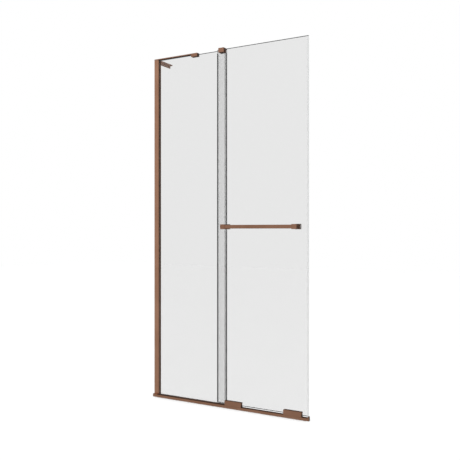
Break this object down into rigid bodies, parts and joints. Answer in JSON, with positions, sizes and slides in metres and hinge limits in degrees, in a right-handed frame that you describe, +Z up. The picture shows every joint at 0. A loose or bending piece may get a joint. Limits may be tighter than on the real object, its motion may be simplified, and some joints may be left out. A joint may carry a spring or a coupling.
{
  "type": "sliding walk-in shower screen",
  "caption": "Walk-in shower screen with a fixed glass pane at the wall and a pane that slides past it on rollers along a low bottom rail, with a square bar handle",
  "frame": {"origin": "middle of the bottom rail's underside, at floor level", "axes": "+X runs along the screen from the wall to the free end; -Y is the side of the sliding pane and its handle; +Z up"},
  "size_m": [1, 0.216, 2.007],
  "materials": {
    "copper": "brushed copper-coloured metal, satin",
    "aluminium": "mill-finish extruded aluminium",
    "steel": "stainless steel",
    "clear_glass": "clear toughened glass, 6 mm",
    "clear_seal": "translucent soft PVC seal",
    "grey_rubber": "dark grey EPDM rubber",
    "nylon": "off-white acetal",
    "dark_plastic": "dark grey plastic"
  },
  "bodies": {
    "fixed_screen": {"bottom_rail": "copper", "running_strip": "steel", "wall_end_cap": "copper", "free_end_cap": "copper", "travel_stops": "dark_plastic", "stop_screws": "steel", "glass_channel": "copper", "channel_end_plug": "dark_plastic", "setting_blocks": "dark_plastic", "channel_gaskets": "grey_rubber", "fixed_pane": "clear_glass", "fixed_edge_seal": "clear_seal", "wall_channel": "aluminium", "wall_post": "copper", "post_gaskets": "grey_rubber", "post_top_cap": "dark_plastic", "post_locking_screws": "steel", "stabiliser_bar": "copper", "wall_angle": "copper", "bar_screws": "steel", "stabiliser_clamp": "copper", "stabiliser_clamp_pad": "grey_rubber", "stabiliser_clamp_screws": "steel", "guide_clamp": "copper", "guide_clamp_pad": "grey_rubber", "guide_clamp_screws": "steel", "guide_insert": "nylon"},
    "sliding_door": {"sliding_pane": "clear_glass", "trailing_edge_seal": "clear_seal", "leading_edge_seal": "clear_seal", "handle_bar": "copper", "handle_block_left": "copper", "handle_block_right": "copper", "handle_bushes": "nylon", "handle_gaskets": "grey_rubber", "handle_rear_plates": "copper", "handle_screws": "steel", "handle_grub_screws": "steel", "carrier_plate_left": "steel", "carrier_plate_right": "steel", "carrier_cover_left": "copper", "carrier_cover_right": "copper", "carrier_rear_plates": "copper", "carrier_gaskets": "grey_rubber", "carrier_bushes": "nylon", "carrier_screws": "steel", "axle_pins": "steel"},
    "roller_1": {"roller_wheel_1": "nylon", "roller_bearing_1": "steel"},
    "roller_2": {"roller_wheel_2": "nylon", "roller_bearing_2": "steel"},
    "roller_3": {"roller_wheel_3": "nylon", "roller_bearing_3": "steel"},
    "roller_4": {"roller_wheel_4": "nylon", "roller_bearing_4": "steel"}
  },
  "joints": [
    {"name": "panel_slide", "type": "slide", "parent": "fixed_screen", "child": "sliding_door", "axis": [-1, 0, 0], "range_m": [0, 0.4]},
    {"name": "roller_1_spin", "type": "hinge", "parent": "sliding_door", "child": "roller_1", "pos_m": [0.01, -0.0075, 0.0263], "axis": [0, 1, 0], "continuous": true},
    {"name": "roller_2_spin", "type": "hinge", "parent": "sliding_door", "child": "roller_2", "pos_m": [0.082, -0.0075, 0.0263], "axis": [0, 1, 0], "continuous": true},
    {"name": "roller_3_spin", "type": "hinge", "parent": "sliding_door", "child": "roller_3", "pos_m": [0.369, -0.0075, 0.0263], "axis": [0, 1, 0], "continuous": true},
    {"name": "roller_4_spin", "type": "hinge", "parent": "sliding_door", "child": "roller_4", "pos_m": [0.441, -0.0075, 0.0263], "axis": [0, 1, 0], "continuous": true}
  ],
  "couplings": [
    {"joint": "roller_1_spin", "follows": "panel_slide", "rad_per_m": -111.11},
    {"joint": "roller_2_spin", "follows": "panel_slide", "rad_per_m": -111.11},
    {"joint": "roller_3_spin", "follows": "panel_slide", "rad_per_m": -111.11},
    {"joint": "roller_4_spin", "follows": "panel_slide", "rad_per_m": -111.11}
  ]
}
